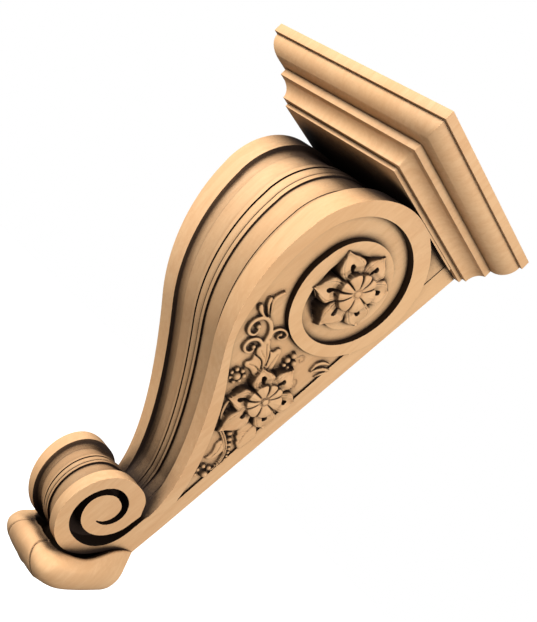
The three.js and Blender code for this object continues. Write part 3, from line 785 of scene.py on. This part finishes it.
    # Leaves, pearls and stem below the second rosette
    leaf = [(-61.5, -226.5), (-59.4, -233.1), (-55.3, -239.5), (-49.5, -244.9)]
    relief.stroke(leaf, [0.6, 1.6, 1.5, 0.6], 2.4)
    relief.plate([
        (-26.8, -226), (-31.5, -231.5), (-33.4, -236.6), (-31.4, -239.4), (-31.2, -241.6), (-27.6, -243.4),
        (-26.8, -245.4), (-22.6, -247), (-21.6, -248.8), (-16.4, -250.6), (-13.2, -250), (-12, -241.9),
        (-13.5, -233),
    ], 4.0)
    relief.score([(-25, -229), (-23.3, -238.7), (-19.4, -246.8)], 0.6, 0.8)
    relief.score([(-23.8, -236), (-27.6, -240)], 0.5, 0.4)
    relief.score([(-22.4, -241), (-24.2, -244.4)], 0.5, 0.4)
    relief.plate([
        (-32.3, -254.0), (-33.3, -259.1), (-30.6, -262.8), (-28.4, -267.1), (-28.4, -272.5), (-22.8, -269.6),
        (-21.5, -263.5), (-23.5, -257.3),
    ], 2.7)
    relief.score([(-29.5, -256.5), (-26.2, -262.4), (-25.4, -269)], 0.45, 0.8)
    stem = [
        (-41.5, -249.3), (-33.4, -251.7), (-25.4, -255.4), (-20.0, -259.9), (-16.6, -265.4), (-15.1, -271.1),
        (-14.6, -276.5),
    ]
    relief.stroke(stem, [1.9, 1.8, 1.7, 1.5, 1.4, 1.2, 0.8], 3.0, 0.3)
    relief.score(stem, 0.4, 1.1)
    for y, level, radius in (
        (-34.0, -246.3, 2.8), (-28.4, -249.6, 2.4), (-23.8, -252.6, 2.1), (-20.3, -255.2, 1.9),
        (-17.4, -257.8, 1.7), (-15.2, -260.4, 1.55), (-13.6, -263.2, 1.4), (-12.6, -265.9, 1.25),
        (-12.4, -268.3, 1.1),
    ):
        relief.bead(y, level, radius)
    for y, level, radius in (
        (-17.1, -281.8, 3.4), (-18.6, -276.0, 2.5), (-23.6, -277.7, 2.3), (-24.4, -282.5, 2.0),
        (-22.1, -286.6, 1.9),
    ):
        relief.bead(y, level, radius)
    relief.y = true_y
    # Second rosette
    for angle, length in ((92, 32.5), (30, 32), (331, 32), (267, 41), (218, 29), (147, 29)):
        relief.petal(-42, -211.6, angle, length, 9.8, 5.0, 0.7, 19.2)
    relief.corolla(-42, -212, 15.4, CREASES, 7.2)
    # First rosette
    for angle, length in ((95, 34), (37, 35), (338, 37), (281, 36), (219, 34), (155, 35)):
        relief.petal(-71, -112, angle, length, 11.2, 6.0, 1.0, 21.4)
    relief.corolla(-71, -112.4, 16.6, CREASES, 10.6)


def carving_piece(name, side, step):
    """Slab that fills the sunk ground of one side with its relief, as fine as the step."""
    panel = np.array(panel_outline())
    ys = np.arange(-136.0, -6.0, step)
    levels = np.arange(-315.0, -52.0, step)
    grid_y, grid_level = np.meshgrid(ys, levels, indexing="ij")
    inside, near = outline_distance(panel, grid_y, grid_level)
    inside |= near < 1.4
    away = np.hypot(grid_y - EYE[0], grid_level - EYE[1])
    turn = np.degrees(np.arctan2(grid_level - EYE[1], grid_y - EYE[0]))
    eighths = (180 - turn) % 360 / 45
    reach = np.interp(eighths, range(9), GROOVE_OUTER + [56.5])
    inside |= (away < reach + 1.4) | (away < 40)
    inside |= np.hypot(grid_y + 42, grid_level + 211) < 12
    for y, level, radius in ((-71, -113, 39), (-42, -211, 33)):
        inside |= np.hypot(grid_y - y, grid_level - level) < radius
    inside &= grid_y < -8
    height = raised_field(grid_y, grid_level)
    used = inside[:-1, :-1] & inside[1:, :-1] & inside[:-1, 1:] & inside[1:, 1:]
    number = np.full(grid_y.shape, -1)
    cells = np.argwhere(used)
    touched = np.zeros(grid_y.shape, dtype=bool)
    for a, b in ((0, 0), (1, 0), (0, 1), (1, 1)):
        touched[cells[:, 0] + a, cells[:, 1] + b] = True
    number[touched] = np.arange(touched.sum())
    x = (half_at(grid_level) + height)[touched] * side
    points = np.stack([x, grid_y[touched], grid_level[touched]], axis=1)
    i, j = cells[:, 0], cells[:, 1]
    quads = np.stack([number[i, j], number[i + 1, j], number[i + 1, j + 1], number[i, j + 1]], axis=1)
    mesh = bpy.data.meshes.new(name)
    mesh.from_pydata(place(points).tolist(), [], quads.tolist())
    grown = bmesh.new()
    grown.from_mesh(mesh)
    rim = [edge for edge in grown.edges if edge.is_boundary]
    made = bmesh.ops.extrude_edge_only(grown, edges=rim)
    for item in made["geom"]:
        if isinstance(item, bmesh.types.BMVert):
            item.co.x = side * (half_at(item.co.z * 1000 - DROP) - 13.0) / 1000
    bottom = [edge for edge in grown.edges if edge.is_boundary]
    bmesh.ops.holes_fill(grown, edges=bottom, sides=0)
    face_outwards(grown)
    grown.to_mesh(mesh)
    grown.free()
    spots = np.empty(len(mesh.vertices) * 3)
    mesh.vertices.foreach_get("co", spots)
    spots = spots.reshape(-1, 3) * 1000
    level = spots[:, 2] - DROP
    sunk = half_at(level) - np.abs(spots[:, 0])
    # Painted shade: the mark rises where the ground is sunk deeper, and darkens it
    mark = mesh.attributes.new("low", "FLOAT", "POINT")
    mark.data.foreach_set("value", soft(sunk - strip_drop(level), -1.0, GROUND_DROP))
    piece = bpy.data.objects.new(name, mesh)
    bpy.context.scene.collection.objects.link(piece)
    smooth_shading(piece, 75)
    return piece


def outline_distance(outline, y, level):
    """Whether points lie in an outline, and how far they are from it."""
    inside = np.zeros(y.shape, dtype=bool)
    near = np.full(y.shape, 1e9)
    ring = [tuple(p) for p in outline]
    for (ay, al), (by, bl) in zip(ring, ring[1:] + ring[:1]):
        crosses = (al > level) != (bl > level)
        slope = (by - ay) / (bl - al) if bl != al else 0.0
        inside ^= crosses & (y < ay + slope * (level - al))
        dy, dl = by - ay, bl - al
        t = np.clip(((y - ay) * dy + (level - al) * dl) / max(dy * dy + dl * dl, 1e-9), 0, 1)
        near = np.minimum(near, np.hypot(y - ay - t * dy, level - al - t * dl))
    return inside, near


# Half of the leaf cup as rows from its lip down to the middle of its underside. Each point is
# the half width, the distance out from the wall and the level under the small volute's centre.
CUP_FLANK = [
    [(26.4, 0, 15), (31, 0, 24), (35, 0, 32), (36, 0, 38.5), (34, 0, 46.5), (27, 0, 54), (14, 0, 59),
     (0, 0, 61)],
    [(31, 18, 22), (35.5, 19, 31), (38.5, 20, 40), (38.5, 20, 49), (35, 20, 57), (27, 20, 64),
     (14, 20, 69), (0, 20, 70.5)],
    [(33, 35.5, 38), (36.5, 37, 43), (38.7, 39, 49), (38.5, 40, 57), (34.5, 39, 65), (27, 37, 70),
     (13.5, 35.5, 73), (0, 35, 74)],
    [(27, 50, 45), (31, 53, 48.5), (34.5, 55.5, 53), (35, 56.5, 60.5), (31.5, 54.5, 67), (23, 50, 72),
     (11.5, 45.5, 74.5), (0, 43, 75)],
    [(18, 56, 48), (22.5, 61, 51), (26.5, 64, 55), (28, 64, 62), (26, 59, 68.5), (20, 52.5, 72.5),
     (9, 47, 74.5), (0, 44.5, 75)],
    [(12, 59.3, 47.5), (15.4, 64.3, 50.5), (18.4, 67.3, 55), (19.4, 66.7, 61.5), (17.8, 61.8, 67.9),
     (13.8, 55, 72.1), (6.3, 48.6, 74.4), (0, 45.4, 75)],
]
CUP_FRONT = [
    [(6, 62, 47), (8, 67, 50), (9.5, 70, 55), (9.5, 69, 61), (8.5, 64, 67), (7, 57, 71.5), (3.5, 50, 74),
     (0, 46, 75)],
    [(0, 63, 46), (0, 68, 49), (0, 71.5, 54), (0, 71, 60.5), (0, 65.5, 67), (0, 58, 71.5), (0, 52, 74),
     (0, 47, 75)],
]


def smoothed(rows, steps, beyond=None):
    """Smooth rows through those given, with the neighbour beyond the last one if there is one."""
    rows = [np.array(row, dtype=float) for row in rows]
    through = [rows[0]] + rows + [rows[-1] if beyond is None else np.array(beyond, dtype=float)]
    done = []
    for a, b, c, d in zip(through, through[1:], through[2:], through[3:]):
        for k in range(steps):
            done.append(between(a, b, c, d, k / steps))
    return done + [rows[-1]]


def cup_row(row, steps):
    """One row of the cup's half: down its outside from the lip, then back up the hollow inside."""
    outer = [seamed(p) for p in smoothed(list(row), steps)]
    x, out, down = row[0]
    low = outer[-1][2] - CUP_FLOOR
    hollow = [np.array((0.0, out * HOLLOW_OUT, low))]
    inside = [(0.36, 10.0), (0.26, 4.0), (0.18, 0.9), (0.12, -0.4), (0.06, -0.9)]
    for share, drop in inside:
        spot = (x * (1 - share), out * (1 - HOLLOW_PULL * share), min(down + drop, low))
        hollow.append(np.array(spot))
    hollow = smoothed(hollow, max(2, steps // 2))
    return [np.array((p[0], -max(p[1], WALL_GAP), CURL[1] - p[2] + CUP_LIFT)) for p in outer + hollow]


def seamed(point):
    """Point of the cup's outside, drawn in where the seam beside its front lobe runs."""
    x, out, down = point
    off = x - (SEAM_HALF + SEAM_SLANT * (down - SEAM_LEVEL))
    depth = SEAM_DEPTH * math.exp(-((off / SEAM_WIDTH) ** 2)) * float(soft(out, *SEAM_FADE))
    inward = np.array(CUP_HEART) - point
    return point + inward / np.linalg.norm(inward) * depth


def cup_rows(look):
    """Rows of the whole cup from one side's wall edge round the front to the other's."""
    flank = smoothed(CUP_FLANK, look.cup_steps)
    beyond = [(-x, out, down) for x, out, down in CUP_FRONT[0]]
    front = smoothed([CUP_FLANK[-1]] + CUP_FRONT, look.cup_steps, beyond)
    near = [cup_row(row, look.cup_across) for row in flank + front[1:]]
    far = [[p * np.array((-1, 1, 1)) for p in row] for row in near[-2::-1]]
    return near + far


def length(name, description, default):
    """Property for a length in metres."""
    return FloatProperty(name=name, description=description, default=default, unit="LENGTH")


def tint(name, description, default):
    """Property for a screen colour."""
    return FloatVectorProperty(
        name=name, description=description, subtype="COLOR_GAMMA", size=3, default=default
    )


class CorbelCap(bpy.types.PropertyGroup):
    """Sizes of the moulded cap"""

    width: length("Width", "Width of the cap's top", 0.2)
    depth: length("Depth", "Depth from the wall", 0.1667)
    slab: length("Slab", "Height of the top slab", 0.0074)
    ovolo: length("Ovolo", "Radius of the round", 0.014)
    cavetto: length("Cavetto", "Radius of the hollow", 0.0113)
    ease: length("Eased Edge", "Sanded width of edges", 0.0003)
    steps: IntProperty(name="Steps", description="Facets along each curved moulding", default=14, min=4)


class CorbelCarving(bpy.types.PropertyGroup):
    """Sizes of the scroll body's carving and of the leaf cup"""

    fineness: length("Fineness", "Grid size of the side carving", 0.00048)
    cup_steps: IntProperty(name="Cup Steps", description="Rows between main sections", default=18, min=2)
    cup_across: IntProperty(name="Cup Across", description="Points from one to the next", default=7, min=2)


class CorbelWood(bpy.types.PropertyGroup):
    """Colours and finish of the wood, and the strength, reach and colour of its painted shade"""

    light_grain: tint("Light Grain", "Early wood", (0.91, 0.74, 0.555))
    dark_grain: tint("Dark Grain", "Late wood", (0.86, 0.67, 0.485))
    warm_patch: tint("Warm Patch", "Slow drift of colour", (0.89, 0.69, 0.475))
    # Stain, Shelter and Crevice set the painted shade: the share of occlusion that turns fully dark, the
    # reach of the wide painted shade and the shade colour
    painted_shade: FloatProperty(name="Stain", description="Share of shelter that is fully dark", default=0.52)
    shelter: length("Shelter", "Reach of the wide stain", 0.1)
    shade_colour: tint("Crevice", "Stain in the cut corners", (0.13, 0.07, 0.03))
    roughness: FloatProperty(name="Roughness", description="Sanded, unpolished", default=0.68, min=0, max=1)
    grain_scale: FloatProperty(name="Grain Scale", description="Streaks across the grain", default=260.0)
    grain_stretch: FloatProperty(name="Grain Stretch", description="Length share of a streak", default=0.09)
    bump: FloatProperty(name="Bump", description="Relief of the pores", default=0.12, min=0, max=1)


class CorbelStage(bpy.types.PropertyGroup):
    """Floor and light of the studio"""

    key: FloatProperty(name="Key Light", description="Strength of the main light", default=36.0, unit="POWER")
    fill: FloatProperty(name="Fill Light", description="Strength of the fill", default=23.5, unit="POWER")
    sky: FloatProperty(name="Sky", description="Strength of the all-round light", default=0.15)


class CORBEL_OT_cap(bpy.types.Operator):
    """Models the cap by extruding its plan down the mouldings, mitred round three sides"""

    bl_idname = "corbel.cap"
    bl_label = "Cap"

    def execute(self, context):
        look = context.scene.corbel_cap
        profile = cap_profile(look)
        half, depth = look.width / 2, look.depth
        bpy.ops.object.select_all(action="DESELECT")
        bpy.ops.mesh.primitive_plane_add(size=1, location=(0, 0, 0))
        cap = context.active_object
        cap.name = cap.data.name = "cap_carved"
        bpy.ops.object.mode_set(mode="EDIT")
        bpy.ops.mesh.select_all(action="SELECT")
        bpy.ops.transform.resize(value=(2 * half, depth, 1), center_override=(0, 0, 0))
        top = DROP / 1000
        bpy.ops.transform.translate(value=(0, -depth / 2, top))
        inset, level = profile[0]
        for next_inset, next_level in profile[1:]:
            move = (0, 0, (next_level - level) / 1000)
            bpy.ops.mesh.extrude_region_move(TRANSFORM_OT_translate={"value": move})
            wide = (half - next_inset / 1000) / (half - inset / 1000)
            deep = (depth - next_inset / 1000) / (depth - inset / 1000)
            middle = (0, 0, next_level / 1000 + top)
            bpy.ops.transform.resize(value=(wide, deep, 1), center_override=middle)
            inset, level = next_inset, next_level
        bpy.ops.mesh.select_all(action="SELECT")
        bpy.ops.mesh.remove_doubles(threshold=0.000001)
        bpy.ops.mesh.normals_make_consistent(inside=False)
        bpy.ops.object.mode_set(mode="OBJECT")
        alone(cap)
        eased = cap.modifiers.new("ease", "BEVEL")
        eased.width = look.ease
        eased.segments = 2
        eased.limit_method = "ANGLE"
        eased.angle_limit = math.radians(40)
        bpy.ops.object.modifier_apply(modifier=eased.name)
        smooth_shading(cap, 30)
        dress(cap, "cap_wood", 0.013, "cap", line=0.4, extra=0.16)
        return {"FINISHED"}


class CORBEL_OT_scroll(bpy.types.Operator):
    """Models the S-shaped body with its channelled front, volutes, ribbons and sunk panels"""

    bl_idname = "corbel.scroll"
    bl_label = "Scroll Body"

    def execute(self, context):
        outline = body_outline()
        n = len(outline)
        inward = []
        for i in range(n):
            a, b = outline[i - 1], outline[(i + 1) % n]
            run = math.hypot(b[0] - a[0], b[1] - a[1])
            inward.append((-(b[1] - a[1]) / run, (b[0] - a[0]) / run))
        half_side = channel_stations()
        stations = [(-u, d) for u, d in half_side[:0:-1]] + half_side
        points = []
        for u, depth in stations:
            for (y, level, share), (iy, il) in zip(outline, inward):
                points.append((u * HALF_TOP, y + iy * depth * share, level + il * depth * share))
        faces = loft_faces(len(stations), n)
        last = (len(stations) - 1) * n
        faces += [tuple(range(n))[::-1], tuple(range(last, last + n))]
        body = new_piece("scroll_carved", np.array(points), faces)
        for side in (1, -1):
            for tool in self.tools(side):
                carve(body, tool)
        mark_painted_shade(body, outline)
        taper(body)
        smooth_shading(body, 32)
        dress(body, "body_wood", 0.017, "scroll_body", wide_shade_from=0.14)
        return {"FINISHED"}

    def tools(self, side):
        """Cutting solids of one side, at full width."""
        reach = HALF_TOP + 20

        def face(extra):
            def at(level):
                depth = float(strip_drop(level)) + extra
                return side * (HALF_TOP - depth * HALF_TOP / half_at(level))
            return at

        far = side * reach
        levels = np.linspace(TOE_LEVEL, BODY_TOP + 1, 24)
        strip = [(strip_edge(v), v) for v in levels] + [(2, v) for v in levels[::-1]]
        back = prism("strip_tool", strip, face(0.0), far)
        radii = [SCROLL_RADIUS, SCROLL_RADIUS] + RING_OUTER
        carve(back, prism("ring_tool", spiral(EYE, 90, radii), 0, far * 1.1))
        tools = [back]
        tools.append(prism("groove_tool", groove_outline(), face(GROOVE_CUT), far))
        tools.append(prism("panel_tool", panel_outline(), face(PANEL_CUT), far))
        tools.append(prism("spandrel_tool", spandrel_outline(), face(SPANDREL_CUT), far))
        tools.append(prism("throat_tool", throat_outline(), side * (HALF_TOP - THROAT_DEPTH), far))
        sink = [on_circle(EYE_SINK, EYE_SINK_RADIUS + 0.4, 5 * k) for k in range(72)]
        tools.append(prism("sink_tool", sink, face(SINK_CUT), far))
        return tools


def mark_painted_shade(piece, outline):
    """Marks the steep walls of the cuts in the sides and front, and the lower front channel, for painted
    shade.
    """
    mesh = piece.data
    count = len(mesh.polygons)
    middle = np.empty(count * 3)
    facing = np.empty(count * 3)
    mesh.polygons.foreach_get("center", middle)
    mesh.polygons.foreach_get("normal", facing)
    middle = middle.reshape(-1, 3)
    facing = facing.reshape(-1, 3)
    inside, near = outline_distance([point[:2] for point in outline], middle[:, 1], middle[:, 2])
    out = np.abs(middle[:, 0])
    side_cut = (near > 1.0) & (out > HALF_TOP - 12.0) | (near > 6.6) & (out > HALF_TOP - 40.0)
    across = np.abs(facing[:, 0])
    cut = (across < 0.5) & inside & side_cut
    channel = (out < 0.67 * HALF_TOP) & (near < 8.0)
    # Painted shade down the lower part of the front's channel, and on the channel's walls
    front_shade = CHANNEL_SHADE * channel * (out < 0.64 * HALF_TOP) * soft(middle[:, 2], -95.0, -180.0)
    front_shade = np.maximum(front_shade, CHANNEL_WALL_SHADE * channel * soft(across, 0.3, 0.75))
    mark = mesh.attributes.new("cut", "FLOAT", "FACE")
    mark.data.foreach_set("value", np.where(cut, 1.0, front_shade))


def taper(piece):
    """Narrows the body downwards and sets it at its place."""
    count = len(piece.data.vertices)
    points = np.empty(count * 3)
    piece.data.vertices.foreach_get("co", points)
    points = points.reshape(-1, 3)
    points[:, 0] *= half_at(points[:, 2]) / HALF_TOP
    piece.data.vertices.foreach_set("co", place(points).ravel())
    piece.data.update()


class CORBEL_OT_relief(bpy.types.Operator):
    """Carves the rosettes, leaves, curls and berries of both sides"""

    bl_idname = "corbel.relief"
    bl_label = "Side Carving"

    def execute(self, context):
        step = context.scene.corbel_carving.fineness * 1000
        for name, side in (("carving_right", 1), ("carving_left", -1)):
            piece = carving_piece(name, side, step)
            dress(piece, "carving_wood", 0.009, "scroll_body", "slope", 0.75, 0.2)
        return {"FINISHED"}


class CORBEL_OT_cup(bpy.types.Operator):
    """Models the leaf cup under the small volute"""

    bl_idname = "corbel.cup"
    bl_label = "Leaf Cup"

    def execute(self, context):
        look = context.scene.corbel_carving
        rows = cup_rows(look)
        count = len(rows[0])
        points = [p for row in rows for p in row]
        middle = (len(CUP_FLANK[0]) - 1) * look.cup_across
        faces = [f for f in loft_faces(len(rows), count) if f[0] % count != middle]
        last = (len(rows) - 1) * count
        faces += [tuple(range(count))[::-1], tuple(range(last, last + count))]
        cup = new_piece("leaf_cup", place(points), faces)
        alone(cup)
        bpy.ops.object.mode_set(mode="EDIT")
        bpy.ops.mesh.select_all(action="SELECT")
        bpy.ops.mesh.remove_doubles(threshold=0.00002)
        bpy.ops.mesh.normals_make_consistent(inside=False)
        bpy.ops.object.mode_set(mode="OBJECT")
        smooth_shading(cup, 45)
        dress(cup, "cup_wood", 0.01, "scroll_body", extra=0.1)
        return {"FINISHED"}


class CORBEL_OT_stage(bpy.types.Operator):
    """Sets the pale floor, the studio light and the camera"""

    bl_idname = "corbel.stage"
    bl_label = "Stage"

    def execute(self, context):
        scene = context.scene
        look = scene.corbel_stage
        bpy.ops.object.select_all(action="DESELECT")
        bpy.ops.mesh.primitive_plane_add(size=FLOOR_SIZE, location=(0, 0, 0))
        floor = context.active_object
        floor.name = floor.data.name = "floor"
        bpy.ops.object.mode_set(mode="EDIT")
        bpy.ops.mesh.select_all(action="SELECT")
        bpy.ops.transform.translate(value=(0, 0, FLOOR_LEVEL))
        bpy.ops.object.mode_set(mode="OBJECT")
        finish = bpy.data.materials.new("floor_paint")
        finish.use_nodes = True
        paint = finish.node_tree.nodes["Principled BSDF"]
        paint.inputs["Base Color"].default_value = (0.9, 0.9, 0.9, 1)
        paint.inputs["Roughness"].default_value = 0.9
        paint.inputs["Emission Color"].default_value = (1, 1, 1, 1)
        paint.inputs["Emission Strength"].default_value = 1.0
        floor.data.materials.append(finish)
        floor.visible_diffuse = False
        floor.visible_glossy = False
        world = bpy.data.worlds.new("studio")
        scene.world = world
        world.use_nodes = True
        tree = world.node_tree
        tree.nodes.clear()
        start = Tone(tree, None)
        seen = start.node("ShaderNodeLightPath")
        sky = start.node("ShaderNodeBackground", {}, {0: (1, 1, 1, 1), 1: look.sky})
        white = start.node("ShaderNodeBackground", {}, {0: (1, 1, 1, 1), 1: 1.0})
        both = start.node("ShaderNodeMixShader", {}, {0: seen, 1: sky, 2: white})
        tree.links.new(both.socket, tree.nodes.new("ShaderNodeOutputWorld").inputs[0])
        scene.view_settings.view_transform = "Standard"
        self.light("key", KEY_WAY, KEY_SIZE, look.key)
        self.light("fill", FILL_WAY, FILL_SIZE, look.fill)
        data = bpy.data.cameras.new("camera")
        camera = bpy.data.objects.new("camera", data)
        scene.collection.objects.link(camera)
        data.sensor_fit = "HORIZONTAL"
        data.sensor_width = SENSOR
        data.lens = FOCUS * SENSOR / PHOTO_WIDTH
        data.clip_start = 0.01
        data.clip_end = 50
        across, up, back = CAMERA_RIGHT, -CAMERA_DOWN, -CAMERA_AHEAD
        rows = [(across[k], up[k], back[k], CAMERA_SPOT[k]) for k in range(3)]
        camera.matrix_world = Matrix(rows + [(0, 0, 0, 1)])
        scene.camera = camera
        return {"FINISHED"}

    def light(self, name, way, size, power):
        """Square soft light some way from the target, turned to it."""
        data = bpy.data.lights.new(name, "AREA")
        data.shape = "SQUARE"
        data.size = size
        data.energy = power
        lamp = bpy.data.objects.new(name, data)
        bpy.context.scene.collection.objects.link(lamp)
        lamp.location = TARGET + way * LIGHT_AWAY
        lamp.rotation_mode = "QUATERNION"
        lamp.rotation_quaternion = (TARGET - lamp.location).to_track_quat("-Z", "Y")


class CORBEL_PT_panel(bpy.types.Panel):
    """Sizes, finishes and building steps of the corbel"""

    bl_idname = "CORBEL_PT_panel"
    bl_label = "Corbel"
    bl_space_type = "VIEW_3D"
    bl_region_type = "UI"
    bl_category = "Corbel"

    def draw(self, context):
        scene = context.scene
        for group in (scene.corbel_cap, scene.corbel_carving, scene.corbel_wood, scene.corbel_stage):
            box = self.layout.box()
            for field in group.bl_rna.properties:
                if field.identifier not in {"rna_type", "name"}:
                    box.prop(group, field.identifier)
        for step in STEPS:
            self.layout.operator(step.bl_idname)


GROUPS = (
    ("corbel_cap", CorbelCap), ("corbel_carving", CorbelCarving),
    ("corbel_wood", CorbelWood), ("corbel_stage", CorbelStage),
)
STEPS = (CORBEL_OT_cap, CORBEL_OT_scroll, CORBEL_OT_relief, CORBEL_OT_cup, CORBEL_OT_stage)


def register():
    for name, group in GROUPS:
        bpy.utils.register_class(group)
        setattr(bpy.types.Scene, name, PointerProperty(type=group))
    for step in STEPS:
        bpy.utils.register_class(step)
    bpy.utils.register_class(CORBEL_PT_panel)


def unregister():
    bpy.utils.unregister_class(CORBEL_PT_panel)
    for step in reversed(STEPS):
        bpy.utils.unregister_class(step)
    for name, group in reversed(GROUPS):
        delattr(bpy.types.Scene, name)
        bpy.utils.unregister_class(group)


def main():
    register()
    bpy.ops.corbel.cap()
    bpy.ops.corbel.scroll()
    bpy.ops.corbel.relief()
    bpy.ops.corbel.cup()
    bpy.ops.corbel.stage()


if __name__ == "__main__":
    main()
